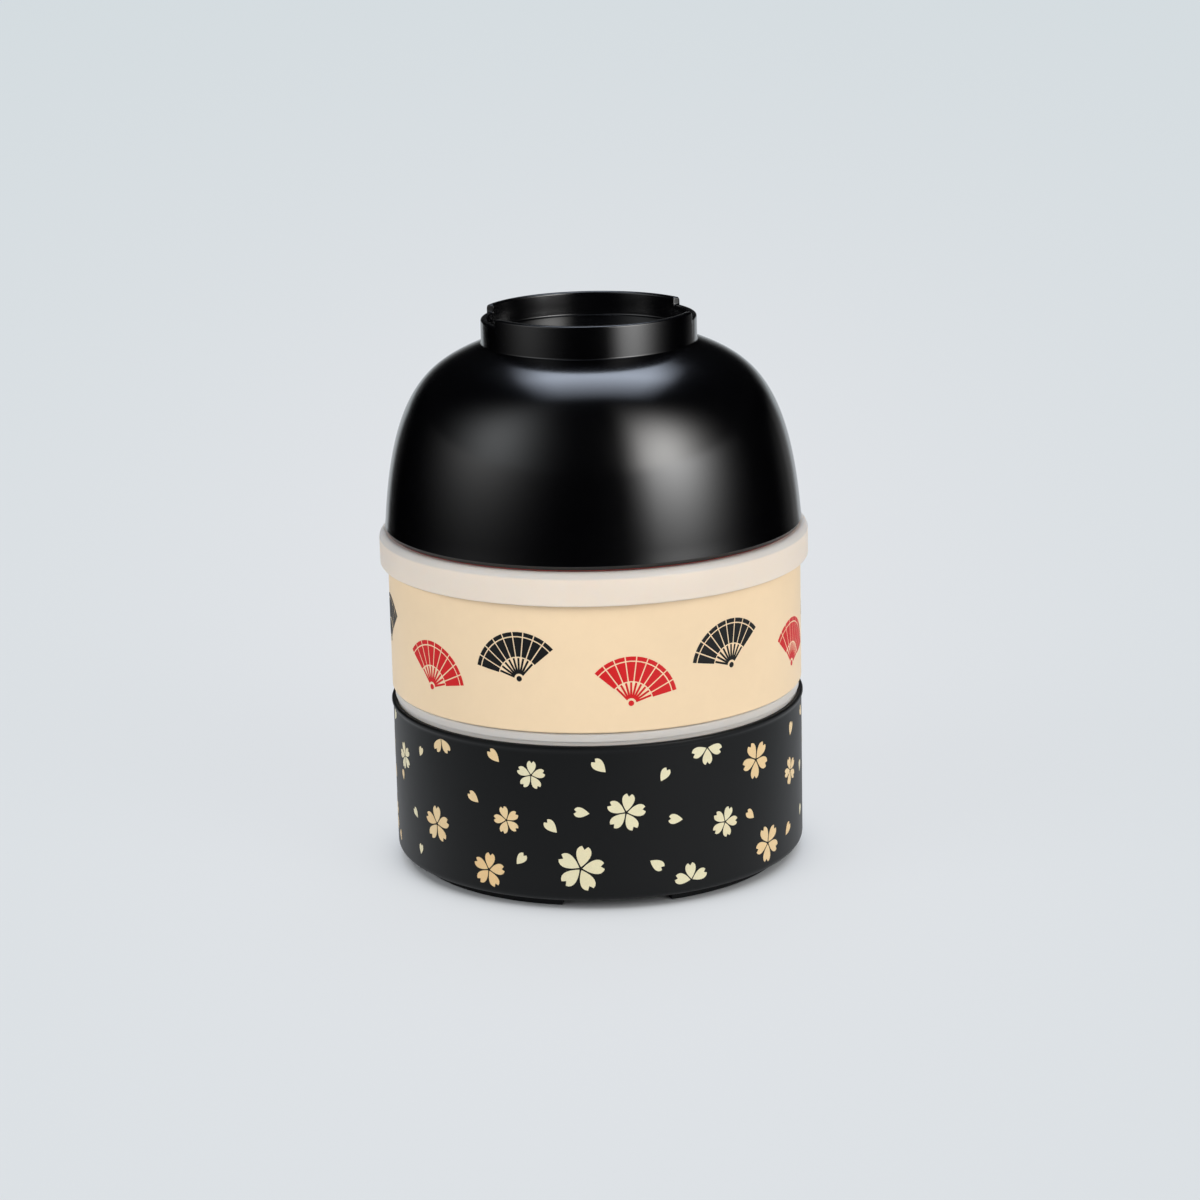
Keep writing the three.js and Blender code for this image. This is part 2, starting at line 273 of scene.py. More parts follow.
class StageSettings(bpy.types.PropertyGroup):
    """Camera, floor and studio light."""

    camera_side: length("Camera side", "Camera's distance to the right of the axis", 1.3)
    camera_front: length("Camera front", "Camera's distance in front of the axis", 900.0)
    camera_height: length("Camera height", "Camera's height over the floor", 302.5)
    camera_pitch: angle("Camera pitch", "How far the camera looks down", 14.49)
    camera_roll: angle("Camera roll", "How far the camera is turned about its view", -1.34)
    lens: focus("Lens", "Focal length on a 36 mm sensor", 102.3)
    # Painted pool of light: the floor round the box is paler than the far floor
    painted_pool_floor: colour("Near floor", "Floor round the box", 229, 231, 234)
    far_floor: colour("Far floor", "Floor away from the box", 212, 220, 224)
    floor_reach: length("Floor reach", "Half width of the floor", 14000.0)
    floor_tone: share("Floor tone", "Tone of the lit floor as a share of its glow", 0.75)
    floor_glow: share("Floor glow", "How much of the floor's look is free of shadow", 0.84)
    patch_width: length("Patch width", "Half width of the near floor", 300.0)
    patch_depth: length("Patch depth", "Half depth of the near floor", 1200.0)
    patch_back: length("Patch back", "How far the middle of the near floor lies behind the axis", 350.0)
    shadow_start: length("Shadow start", "Radius within which the floor has no glow", 53.0)
    shadow_fade: length("Shadow fade", "Distance over which the glow comes back", 3.4)
    backdrop_reach: length("Backdrop reach", "Distance of the backdrop from the axis", 8000.0)
    backdrop_height: length("Backdrop height", "Height of the backdrop", 7000.0)
    overhead: level("Overhead", "Strength of the softbox overhead", 6.1)
    key: level("Key", "Strength of the softbox on the right", 7.9)
    fill: level("Fill", "Strength of the softbox on the left", 1.55)
    back: level("Back", "Strength of the low glow behind", 0.6)
    room: level("Room", "Strength of the light from all round", 0.004)
    wash: power("Wash", "Power of the wide lamp from the left", 26.6)
    rear_wash: power("Rear wash", "Power of the wide lamp from behind on the right", 5.5)
    wash_size: length("Wash size", "Width of the wide lamps", 1600.0)
    card_turn: angle("Card turn", "How far the dark card reaches round each side from the front", 147.0)
    card_reach: length("Card reach", "Distance of the dark card from the axis", 320.0)
    card_height: length("Card height", "Height of the dark card", 210.0)
    card_horizon: length("Card horizon", "Height on the dark card at which the softboxes stand", 115.0)


def group(label, words, kind):
    return bpy.props.PointerProperty(name=label, description=words, type=kind)


class LunchBoxSettings(bpy.types.PropertyGroup):
    """Everything that can be set on the lunch box."""

    containers: group("Containers", "Sizes that both containers share", ContainerSizes)
    lower: group("Lower container", "Sizes of the lower container", LowerContainerSizes)
    upper: group("Upper container", "Sizes of the upper container", UpperContainerSizes)
    lids: group("Lids", "Sizes of the two soft lids", LidSizes)
    divider: group("Divider", "Sizes of the food divider", DividerSizes)
    bowl: group("Bowl", "Sizes of the soup bowl", BowlSizes)
    prints: group("Prints", "Sizes of the two prints", PrintSizes)
    finishes: group("Finishes", "Colours and gloss of the surfaces", Finishes)
    stage: group("Stage", "Camera, floor and studio light", StageSettings)


# Node graphs

class Wire:
    """Output socket of a node. Arithmetic on it adds Math nodes to its graph."""

    def __init__(self, graph, socket):
        self.graph = graph
        self.socket = socket

    def __getitem__(self, name):
        """Another output of the same node."""
        return Wire(self.graph, self.socket.node.outputs[name])

    def maths(self, operation, *terms):
        return self.graph.maths(operation, self, *terms)

    def clamped(self):
        """The value, held between 0 and 1."""
        return self.graph.maths("MULTIPLY", self, 1.0, use_clamp=True)

    def __add__(self, term):
        return self.maths("ADD", term)

    def __radd__(self, term):
        return self.graph.maths("ADD", term, self)

    def __sub__(self, term):
        return self.maths("SUBTRACT", term)

    def __rsub__(self, term):
        return self.graph.maths("SUBTRACT", term, self)

    def __mul__(self, term):
        return self.maths("MULTIPLY", term)

    def __rmul__(self, term):
        return self.graph.maths("MULTIPLY", term, self)

    def __truediv__(self, term):
        return self.maths("DIVIDE", term)

    def __gt__(self, term):
        return self.maths("GREATER_THAN", term)


class Graph:
    """Node tree that is filled node by node."""

    def __init__(self, tree):
        self.tree = tree

    def add(self, kind, sockets=None, output=0, **settings):
        """Adds a node, sets it up, then fills or links its sockets. Gives one output as a wire."""
        node = self.tree.nodes.new(kind)
        for name, value in settings.items():
            setattr(node, name, value)
        for name, value in (sockets or {}).items():
            for link in value if isinstance(value, list) else [value]:
                if isinstance(link, Wire):
                    self.tree.links.new(link.socket, node.inputs[name])
                else:
                    node.inputs[name].default_value = link
        return Wire(self, node.outputs[output]) if node.outputs else None

    def maths(self, operation, *terms, **settings):
        return self.add("ShaderNodeMath", dict(enumerate(terms)), operation=operation, **settings)

    def split(self, vector):
        """The three parts of a vector."""
        first = self.add("ShaderNodeSeparateXYZ", {"Vector": vector})
        return first, first["Y"], first["Z"]

    def vector(self, x, y, z):
        return self.add("ShaderNodeCombineXYZ", {0: x, 1: y, 2: z})

    def blend(self, factor, first, second, **settings):
        """Colour between two colours."""
        sockets = {0: factor, 6: first, 7: second}
        return self.add("ShaderNodeMix", sockets, output=2, data_type="RGBA", **settings)

    def toned(self, base, factor, dark, light):
        """Colour whose tone runs from dark to light with the factor."""
        tone = self.blend(factor, opaque((dark, dark, dark)), opaque((light, light, light)))
        return self.blend(1.0, base, tone, blend_type="MULTIPLY")


def band(wire, middle, half, soft):
    """1 within half of the middle, fading to 0 over a soft edge."""
    away = (wire - middle).maths("ABSOLUTE")
    return ((half + soft / 2 - away) / soft).clamped()


def hump(wire, middle, spread):
    """1 at the middle, falling off like a bell."""
    away = (wire - middle) / spread
    return (away * away * -0.5).maths("EXPONENT")


def bearing(x, y):
    """Degrees of a direction to the right of the front."""
    return x.maths("ARCTAN2", y * -1.0).maths("DEGREES")


# Materials

def opaque(tint):
    return (*tint, 1.0)


def shaded(tint, factor):
    return tuple(min(1.0, part * factor) for part in tint)


def between(graph, factor, tint, dark, light):
    """Tint between a darker and a lighter shade of itself."""
    return graph.blend(factor, opaque(shaded(tint, dark)), opaque(shaded(tint, light)))


def noise(graph, place, grain, detail=2.0):
    """Noise whose patches are about one grain across."""
    sockets = {"Vector": place, "Scale": 1.0 / grain, "Detail": detail, "Roughness": 0.55}
    return graph.add("ShaderNodeTexNoise", sockets)


def bumped(graph, height, relief):
    """Normal of a fine relief."""
    return graph.add("ShaderNodeBump", {"Strength": 1.0, "Distance": relief, "Height": height})


def new_material(name):
    """Empty material with its graph and the wire of its object coordinates."""
    material = bpy.data.materials.new(name)
    material.use_nodes = True
    material.node_tree.nodes.clear()
    graph = Graph(material.node_tree)
    return material, graph, graph.add("ShaderNodeTexCoord", output="Object")


def shown(graph, shader):
    graph.add("ShaderNodeOutputMaterial", {"Surface": shader})


def plastic(graph, sockets):
    return graph.add("ShaderNodeBsdfPrincipled", sockets)


def emission(graph, tint):
    return graph.add("ShaderNodeEmission", {"Color": tint})


def coat(name, tint, roughness, specular):
    """Sprayed coat on moulded plastic: fine orange peel, and gloss and tone that are a little uneven."""
    material, graph, place = new_material(name)
    cloud = noise(graph, place, 22 * MM)
    mottle = noise(graph, place, 3.5 * MM, detail=3.0)
    peel = noise(graph, place, 0.9 * MM)
    shown(graph, plastic(graph, {
        "Base Color": between(graph, cloud * 0.6 + mottle * 0.4, tint, 0.95, 1.05),
        "Roughness": roughness - 0.05 + 0.07 * cloud + 0.03 * mottle,
        "Specular IOR Level": specular,
        "Normal": bumped(graph, peel, 0.0035 * MM),
    }))
    return material


def milky_plastic(name, tint, warm):
    """Soft translucent plastic with a fine matt grain and faint clouds from moulding.

    It is warmer in the heights where the upper lid lies against the cream wall, which shows through: this
    show-through is painted light, a warm band laid into the base colour by height.
    """
    material, graph, place = new_material(name)
    low, high = lowest("upper_seal_lid").z, highest("upper_container").z
    # Painted show-through: a warm band by height stands for the cream wall seen through the lid
    against = band(graph.split(place)[2], low, high - low, 0.5 * MM)
    cloud = noise(graph, place, 16 * MM)
    grain = noise(graph, place, 0.35 * MM, detail=3.0)
    base = graph.blend(against, opaque(tint), opaque(warm))
    shown(graph, plastic(graph, {
        "Base Color": graph.toned(base, cloud, 0.96, 1.0),
        "Roughness": 0.4 + 0.08 * cloud,
        "Subsurface Weight": 0.4,
        "Subsurface Radius": (1.0, 0.85, 0.7),
        "Subsurface Scale": 1.2 * MM,
        "Transmission Weight": 0.2,
        "IOR": 1.45,
        "Specular IOR Level": 0.3,
        "Normal": bumped(graph, grain, 0.004 * MM),
    }))
    return material


def gold_ink(name, pale, warm):
    """Screen-printed gold ink with a fine sparkle. The tint attribute runs from pale to warm; the warm
    end is partly ink and partly a painted reflection of the surroundings in the gold.
    """
    material, graph, place = new_material(name)
    tint = graph.add("ShaderNodeAttribute", output="Fac", attribute_name="tint")
    grain = noise(graph, place, 0.28 * MM, detail=3.0)
    base = graph.blend(tint, opaque(pale), opaque(warm))
    shown(graph, plastic(graph, {
        "Base Color": graph.toned(base, grain, 0.8, 1.08),
        "Metallic": 0.12,
        "Roughness": 0.36 + 0.12 * grain,
        "Normal": bumped(graph, grain, 0.004 * MM),
    }))
    return material


def flat_ink(name, tint):
    """Screen-printed ink with the faint tooth of the screen."""
    material, graph, place = new_material(name)
    tooth = noise(graph, place, 0.4 * MM)
    shown(graph, plastic(graph, {
        "Base Color": between(graph, tooth, tint, 0.94, 1.04),
        "Roughness": 0.4 + 0.1 * tooth,
        "Specular IOR Level": 0.25,
        "Normal": bumped(graph, tooth, 0.003 * MM),
    }))
    return material


def finish(name):
    """Finish of a surface, made when it is first asked for."""
    label = f"{name}_finish"
    made = bpy.data.materials.get(label)
    if made:
        return made
    tints = bpy.context.scene.lunchbox.finishes
    if name == "milky":
        return milky_plastic(label, tints.milky, tints.milky_painted_show_through)
    if name == "gold_ink":
        return gold_ink(label, tints.pale_gold, tints.warm_gold_ink_and_reflection)
    tint = getattr(tints, name)
    if name in ("red_ink", "black_ink"):
        return flat_ink(label, tint)
    if name.endswith("lacquer"):
        return coat(label, tint, tints.lacquer_gloss, specular=0.68)
    return coat(label, tint, tints.satin_gloss, specular=0.22)


# Mesh building

SOCKETS = {
    float: "NodeSocketFloat",
    int: "NodeSocketInt",
    bpy.types.Material: "NodeSocketMaterial",
}


def highest(node):
    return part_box(node)[1]


def lowest(node):
    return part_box(node)[0]


def new_piece(name, points, faces=()):
    """Mesh object at the origin."""
    mesh = bpy.data.meshes.new(name)
    mesh.from_pydata(points, [], faces)
    piece = bpy.data.objects.new(name, mesh)
    bpy.context.scene.collection.objects.link(piece)
    return piece


def smooth(mesh):
    """Smooth shading that breaks at the sharp edges."""
    mesh.polygons.foreach_set("use_smooth", [True] * len(mesh.polygons))
    mesh.set_sharp_from_angle(angle=SHARP_EDGE)


def new_tree(name, values, fill):
    """Geometry tree with an input for each value. Fill draws it from the wire of its first input."""
    tree = bpy.data.node_groups.new(name, "GeometryNodeTree")
    tree.interface.new_socket("Geometry", in_out="INPUT", socket_type="NodeSocketGeometry")
    for label, value in values.items():
        tree.interface.new_socket(label, in_out="INPUT", socket_type=SOCKETS[type(value)])
    tree.interface.new_socket("Geometry", in_out="OUTPUT", socket_type="NodeSocketGeometry")
    graph = Graph(tree)
    fill(graph, graph.add("NodeGroupInput"))
    return tree


def grown(piece, fill, values):
    """Runs a node tree on a piece and keeps the result as its plain mesh."""
    tree = new_tree(piece.name, values, fill)
    modifier = piece.modifiers.new(tree.name, "NODES")
    modifier.node_group = tree
    for item in tree.interface.items_tree:
        if item.in_out == "INPUT" and item.name in values:
            modifier[item.identifier] = values[item.name]
    depsgraph = bpy.context.evaluated_depsgraph_get()
    mesh = bpy.data.meshes.new_from_object(
        piece.evaluated_get(depsgraph), preserve_all_data_layers=True, depsgraph=depsgraph)
    piece.modifiers.remove(modifier)
    draft = piece.data
    piece.data = mesh
    bpy.data.meshes.remove(draft)
    mesh.name = piece.name
    if not mesh.polygons:
        raise RuntimeError(f"{piece.name} came out empty")
    for slot in reversed(range(len(mesh.materials))):
        if mesh.materials[slot] is None:
            mesh.materials.pop(index=slot)
    smooth(mesh)


def realized(graph, geometry):
    return graph.add("GeometryNodeRealizeInstances", {"Geometry": geometry})


def joined(graph, parts):
    return graph.add("GeometryNodeJoinGeometry", {"Geometry": parts})


def named(graph, name):
    return graph.add("GeometryNodeInputNamedAttribute", {"Name": name}, data_type="FLOAT")


def kept(graph, geometry, name, value):
    """Geometry that keeps a value on its points under a name."""
    sockets = {"Geometry": geometry, "Name": name, "Value": value}
    return graph.add("GeometryNodeStoreNamedAttribute", sockets, data_type="FLOAT")


def moved(graph, geometry, x, y, z):
    sockets = {"Geometry": geometry, "Position": graph.vector(x, y, z)}
    return graph.add("GeometryNodeSetPosition", sockets)


def position(graph):
    return graph.split(graph.add("GeometryNodeInputPosition"))


def welded(graph, geometry):
    return graph.add("GeometryNodeMergeByDistance", {"Geometry": geometry, "Distance": WELD})


def close_tree(graph, geometry, coats):
    """Ends a tree: instances become mesh, and each coat goes on the faces that its wire picks."""
    geometry = realized(graph, geometry)
    for material, picked in coats:
        sockets = {"Geometry": geometry, "Selection": picked, "Material": material}
        geometry = graph.add("GeometryNodeSetMaterial", sockets)
    graph.add("NodeGroupOutput", {"Geometry": geometry})


# Turned pieces

class Knot(NamedTuple):
    """Corner of an outline: its place, the radius that rounds it, and the share of a notch's depth by
    which it moves up inside a notch."""

    place: Vector
    radius: float
    lift: float


def rounded(knot, before, after):
    """Points of the arc that rounds a corner between the places before and after it."""
    back = (before - knot.place).normalized()
    ahead = (after - knot.place).normalized()
    half = back.angle(ahead) / 2
    reach = knot.radius / math.tan(half)
    centre = knot.place + (back + ahead).normalized() * (knot.radius / math.sin(half))
    first = knot.place + back * reach - centre
    last = knot.place + ahead * reach - centre
    start = math.atan2(first.y, first.x)
    sweep = math.remainder(math.atan2(last.y, last.x) - start, math.tau)
    for step in range(CORNER_STEPS + 1):
        turn = start + sweep * step / CORNER_STEPS
        yield centre + knot.radius * Vector((math.cos(turn), math.sin(turn)))


class Outline:
    """Half section of a turned piece, drawn in radius and height from the axis round to the axis.

    The piece lies to the left of the line, so an outer wall is drawn upwards.
    """

    def __init__(self, r, z):
        self.knots = []
        self.border = 0
        self.to(r, z)

    def to(self, r, z, radius=0.0, lift=0.0):
        """Straight run to the next corner."""
        self.knots.append(Knot(Vector((r, z)), radius, lift))
        return self

    def along(self, points):
        for point in points:
            self.to(*point)
        return self

    def second_coat(self):
        """The first coat ends at the last corner."""
        self.border = len(self.knots) - 1
        return self

    def rows(self):
        """Points as radius, lift and height, and the index of the one where the first coat ends."""
        rows, border = [], 0
        for index, knot in enumerate(self.knots):
            places = [knot.place]
            if knot.radius:
                places = rounded(knot, self.knots[index - 1].place, self.knots[index + 1].place)
            rows += [(place.x, knot.lift, place.y) for place in places]
            if index == self.border:
                border = len(rows) - 1
        return rows, border


class Notch(NamedTuple):
    """Pair of opposite notches in a foot ring."""

    radius: float
    arc: float
    turn: float
    depth: float
    round: float


def notch_end(notch):
    """One rounded end of a notch as pairs of distance into the notch and depth."""
    quarter = [math.pi / 2 * step / NOTCH_STEPS for step in range(NOTCH_STEPS + 1)]
    for turn in quarter:
        yield notch.round * (math.sin(turn) - 1), notch.round * (1 - math.cos(turn))
    for turn in quarter:
        into = NOTCH_SLOPE + notch.round * (1 - math.cos(turn))
        yield into, notch.depth - notch.round * (1 - math.sin(turn))


def spokes(notch):
    """Angles of the columns round a piece, each with the depth of the notches there."""
    even = [math.tau * column / COLUMNS for column in range(COLUMNS)]
    if notch is None:
        return [(turn, 0.0) for turn in [*even, math.tau]]
    made = []
    clear = 2 * notch.round / notch.radius
    for turn in even:
        from_middle = abs(math.remainder(turn - notch.turn, math.pi))
        if abs(from_middle - notch.arc / 2) > clear:
            made.append((turn, notch.depth if from_middle < notch.arc / 2 else 0.0))
    for middle in (notch.turn, notch.turn + math.pi):
        for side in (-1, 1):
            for into, depth in notch_end(notch):
                turn = middle + side * (notch.arc / 2 - into / notch.radius)
                made.append((turn % math.tau, depth))
    made.sort()
    first = made[0]
    return [*made, (first[0] + math.tau, first[1])]


def turning_tree(graph, points):
    """Turns an outline round the axis.

    The incoming points are the outline's, as radius, lift and height, and then the spokes', as angle
    and depth.
    """
    rows = points["Outline Points"]
    size = graph.add("GeometryNodeAttributeDomainSize", {"Geometry": points})
    net = graph.add("GeometryNodeMeshGrid", {
        "Size X": 1.0, "Size Y": 1.0, "Vertices X": size - rows, "Vertices Y": rows})
    index = graph.add("GeometryNodeInputIndex")
    column = (index / rows).maths("FLOOR")
    row = index - column * rows
    place = graph.add("GeometryNodeInputPosition")

    def sampled(at):
        sockets = {"Geometry": points, "Value": place, "Index": at}
        return graph.split(graph.add("GeometryNodeSampleIndex", sockets, data_type="FLOAT_VECTOR"))

    radius, lift, height = sampled(row)
    turn, depth, _ = sampled(column + rows)
    net = kept(graph, net, "row", row)
    x, y = radius * turn.maths("COSINE"), radius * turn.maths("SINE")
    net = moved(graph, net, x, y, height + lift * depth)
    second = named(graph, "row") > points["Coat Border"]
    close_tree(graph, welded(graph, net), [
        (points["First Coat"], True), (points["Second Coat"], second)])


def turned_piece(name, outline, first_coat, second_coat, notch=None):
    """Piece that is turned from its outline, with a second coat past the outline's border."""
    rows, border = outline.rows()
    columns = [(turn, depth, 0.0) for turn, depth in spokes(notch)]
    piece = new_piece(name, rows + columns)
    grown(piece, turning_tree, {
        "Outline Points": len(rows), "Coat Border": border,
        "First Coat": finish(first_coat), "Second Coat": finish(second_coat)})
    piece.data.attributes.remove(piece.data.attributes["row"])
    return piece


def seat(piece, node):
    """The piece stands for a node of the frame and moves with its body."""
    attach(piece, node)
    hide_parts(node)


def lower_container(settings):
    shared, own = settings.containers, settings.lower
    rim, bead = highest("lower_container").z, highest("lower_container").x
    body = bead - own.bead_proud
    bead_bottom = rim - own.bead_height
    inside, mouth = body - shared.wall, body - own.lip
    ledge, floor = rim - own.mouth_depth, own.foot_height + shared.floor
    foot, foot_inside = own.foot_radius, own.foot_radius - own.foot_width
    edge = shared.edge
    outline = (
        Outline(0.0, own.foot_height)
        .to(foot_inside, own.foot_height, edge)
        .to(foot_inside, 0.0, edge, lift=1.0)
        .to(foot, 0.0, edge, lift=1.0)
        .to(foot, own.foot_height, edge)
        .to(body, own.foot_height, own.base_round)
        .to(body, bead_bottom, 5 * own.bead_proud)
        .to(bead, bead_bottom + own.bead_slope, 3 * own.bead_proud)
        .to(bead, rim, own.rim_round)
        .to(mouth, rim, edge / 2)
        .to(mouth, ledge)
        .to(inside, ledge, edge)
        .to(inside, floor, shared.inner_round)
        .to(0.0, floor)
    )
    notch = Notch(foot, own.notch_arc, own.notch_turn, own.notch_depth, edge)
    piece = turned_piece("lower_container_shell", outline, "black_satin", "black_satin", notch)
    seat(piece, "lower_container")


def lower_seal_lid(settings):
    own = settings.lids
    top, flange = highest("lower_seal_lid").z, highest("lower_seal_lid").x
    flange_bottom = top - own.flange_height
    under = lowest("lower_seal_lid").z + own.step
    radius = flange - own.flange
    dish = radius - own.wall
    over = under + own.panel
    flat = dish - own.band
    outline = (
        Outline(0.0, under - own.step)
        .to(flat - own.step, under - own.step)
        .to(flat, under)
        .to(radius, under, own.edge)
        .to(radius, flange_bottom)
        .to(flange, flange_bottom, own.flange / 2)
        .to(flange, top, own.edge)
        .to(dish, top, own.edge)
        .to(dish, over, own.edge / 2)
        .to(flat - own.step, over)
        .to(flat - 2 * own.step, over - own.step)
        .to(0.0, over - own.step)
    )
    piece = turned_piece("lower_lid_moulding", outline, "milky", "milky")
    seat(piece, "lower_seal_lid")


def upper_container(settings):
    shared, own = settings.containers, settings.upper
    rim, bead = highest("upper_container").z, highest("upper_container").x
    bottom = lowest("upper_container").z
    body = bead - own.bead_proud
    inside = body - shared.wall
    shoulder = rim - own.wall_height
    spigot, spigot_inside = own.spigot_radius, own.spigot_radius - shared.wall
    hollow = bottom + own.recess
    floor, ledge = hollow + shared.floor, shoulder + shared.floor
    foot_inside = spigot - own.foot_width
    bead_bottom = rim - own.bead_height
    edge = shared.edge
    outline = (
        Outline(0.0, hollow)
        .to(foot_inside - own.recess, hollow)
        .to(foot_inside, bottom)
        .to(spigot, bottom, own.spigot_round)
        .to(spigot, shoulder, edge)
        .to(body, shoulder, own.shoulder_round)
        .to(body, bead_bottom)
        .to(bead, bead_bottom + own.bead_proud, edge / 2)
        .to(bead, rim - own.bead_proud, edge / 2)
        .to(body, rim)
        .to(inside, rim, edge)
        .second_coat()
        .to(inside, ledge + shared.wall)
        .to(spigot_inside, ledge)
        .to(spigot_inside, floor, shared.inner_round)
        .to(0.0, floor)
    )
    piece = turned_piece("upper_container_shell", outline, "cream_satin", "cream_moulding")
    seat(piece, "upper_container")


def upper_seal_lid(settings):
    own = settings.lids
    skirt, skirt_bottom = highest("upper_seal_lid").x, lowest("upper_seal_lid").z
    locator, locator_top = own.locator_radius, highest("upper_seal_lid").z
    web = locator_top - own.locator_height
    plug, plug_inside = own.plug_radius, own.plug_radius - own.wall
    under = web - own.panel - own.plug_depth
    over = under + own.panel
    flat = plug_inside - own.band
    outline = (
        Outline(0.0, under + own.step)
        .to(flat - own.step, under + own.step)
        .to(flat, under)
        .to(plug, under, own.edge)
        .to(plug, web - own.panel)
        .to(skirt - own.wall, web - own.panel)
        .to(skirt - own.wall, skirt_bottom, own.edge)
        .to(skirt, skirt_bottom, own.edge)
        .to(skirt, web, own.skirt_round)
        .to(locator, web)
        .to(locator, locator_top, own.edge)
        .to(plug_inside, locator_top, own.edge)
        .to(plug_inside, over, own.edge / 2)
        .to(flat, over)
        .to(flat - own.step, over + own.step)
        .to(0.0, over + own.step)
    )
    piece = turned_piece("upper_lid_moulding", outline, "milky", "milky")
    seat(piece, "upper_seal_lid")


def cubic(knots, along):
    """Point of a cubic Bezier curve and its direction there."""
    rest = 1 - along
    a, b, c, d = knots
    point = a * rest ** 3 + b * (3 * rest ** 2 * along) + c * (3 * rest * along ** 2) + d * along ** 3
    run = (b - a) * rest ** 2 + (c - b) * (2 * rest * along) + (d - c) * along ** 2
    return point, run.normalized()


def soup_bowl(settings):
    own = settings.bowl
    rim, rim_radius = lowest("soup_bowl").z, highest("soup_bowl").x
    top = highest("soup_bowl").z
    crown = top - own.foot_height
    foot, foot_inside = own.foot_radius, own.foot_radius - own.foot_width
    knots = [
        Vector((rim_radius, rim)),
        Vector((rim_radius - own.side_taper, crown - own.shoulder_drop)),
        Vector((foot + own.crown_reach, crown - own.crown_drop)),
        Vector((foot, crown)),
    ]
    side = [cubic(knots, step / SIDE_STEPS) for step in range(SIDE_STEPS + 1)]
    outer = [point for point, _ in side if point.y > rim + 2 * own.rim_bevel]
    inner = [point + own.wall * Vector((-run.y, run.x)) for point, run in side]
    inner = [point for point in inner if point.y > rim + own.wall]
    end, slope = inner[-1], side[-1][1]
    ceiling = end.y + own.crown_rise
    tip = Vector((end.x + own.crown_rise * slope.x / slope.y, ceiling))
    axis = Vector((0.0, ceiling))
    middle = []
    for step in range(1, CROWN_STEPS):
        along = step / CROWN_STEPS
        rest = 1 - along
        middle.append(axis * rest ** 2 + tip * (2 * along * rest) + end * along ** 2)
    well = ceiling + own.base
    step_radius = foot_inside - own.well_band
    mouth = rim_radius - own.wall
    land = rim_radius - own.rim_bevel / 2
    outline = (
        Outline(0.0, ceiling)
        .along(middle)
        .along(reversed(inner))
        .to(mouth, rim, own.edge)
        .to(land, rim, own.edge / 2)
        .to(land + own.red_edge / 2, rim + own.red_edge)
        .second_coat()
        .to(rim_radius, rim + own.rim_bevel, own.edge)
        .along(outer[:-1])
        .to(foot, crown, own.foot_round)
        .to(foot, top, own.foot_round, lift=-1.0)
        .to(foot_inside, top, own.foot_round, lift=-1.0)
        .to(foot_inside, well, own.foot_round)
        .to(step_radius, well, own.edge)
        .to(step_radius - own.well_step, well + own.well_step, own.edge)
        .to(0.0, well + own.well_step)
    )
    notch = Notch(foot, own.notch_arc, own.notch_turn, own.notch_depth, own.foot_round)
    piece = turned_piece("soup_bowl_shell", outline, "red_lacquer", "black_lacquer", notch)
    seat(piece, "soup_bowl")


# Divider

def food_divider(settings):
    """Upright plate on a flared foot, with ends that follow the inside of the upper container."""
    shared, upper, own = settings.containers, settings.upper, settings.divider
    low, high = lowest("food_divider").z, highest("food_divider").z
    inside = highest("upper_container").x - upper.bead_proud - shared.wall - own.fit
    spigot_inside = upper.spigot_radius - shared.wall - own.fit
    ledge = highest("upper_container").z - upper.wall_height + shared.floor
    floor_round = shared.inner_round - own.fit
    half, half_foot = own.thickness / 2, own.foot_width / 2
    crest = half / 10

    def reach(z):
        """Radius of the room at a height."""
        if z > ledge:
            return min(inside, spigot_inside + (z - ledge))
        under = max(0.0, floor_round - (z - low))
        return spigot_inside - floor_round + math.sqrt(max(0.0, floor_round ** 2 - under ** 2))

    rows = []
    for step in range(CORNER_STEPS + 1):
        along = step / CORNER_STEPS
        rest = 1 - along
        flare = half_foot * rest ** 2 + half * (1 - rest ** 2)
        rise = 2 * along * rest * half + along ** 2 * half_foot
        rows.append((flare, low + rise))
    rows += [(half, ledge), (half, ledge + inside - spigot_inside)]
    for step in range(CORNER_STEPS + 1):
        turn = math.pi / 2 * step / CORNER_STEPS
        rows.append((max(half * math.cos(turn), crest), high - half + half * math.sin(turn)))
    points = []
    for wide, z in rows:
        far = math.sqrt(reach(z) ** 2 - wide ** 2)
        points += [(-far, -wide, z), (far, -wide, z), (far, wide, z), (-far, wide, z)]
    faces = [(3, 2, 1, 0)]
    for row in range(len(rows) - 1):
        for side in range(4):
            first, second = 4 * row + side, 4 * row + (side + 1) % 4
            faces.append((first, second, second + 4, first + 4))
    last = len(points) - 4
    faces.append((last, last + 1, last + 2, last + 3))
    piece = new_piece("food_divider_plate", points, faces)
    piece.data.materials.append(finish("cream_moulding"))
    smooth(piece.data)
    seat(piece, "food_divider")


# Prints

def film_and_wrap(graph, sheet, entry):
    """Turns a flat print into a closed film of ink and lays it round the wall.

    On the flat print x runs round the wall from the front to the right, y is the height.
    """
    sheet = realized(graph, sheet)
    face = graph.add("GeometryNodeExtrudeMesh", {
        "Mesh": sheet, "Offset": graph.vector(0.0, 0.0, 1.0), "Individual": False,
        "Offset Scale": entry["Film"] + entry["Root"]}, mode="FACES")
    under = graph.add("GeometryNodeFlipFaces", {"Mesh": sheet})
    film = welded(graph, joined(graph, [face, under]))
    x, y, z = position(graph)
    wall = entry["Wall Radius"]
    turn = x / wall
    radius = wall - entry["Root"] + z
    return moved(graph, film, radius * turn.maths("SINE"), radius * turn.maths("COSINE") * -1.0, y)


def placed(graph, points, instance, turn, scale=(1.0, 1.0, 1.0)):
    """A copy of the instance on each point, turned in the flat sheet and scaled."""
    upright = {"Axis": (0.0, 0.0, 1.0), "Angle": turn}
    return graph.add("GeometryNodeInstanceOnPoints", {
        "Points": points, "Instance": instance, "Scale": scale,
        "Rotation": graph.add("FunctionNodeAxisAngleToRotation", upright)})


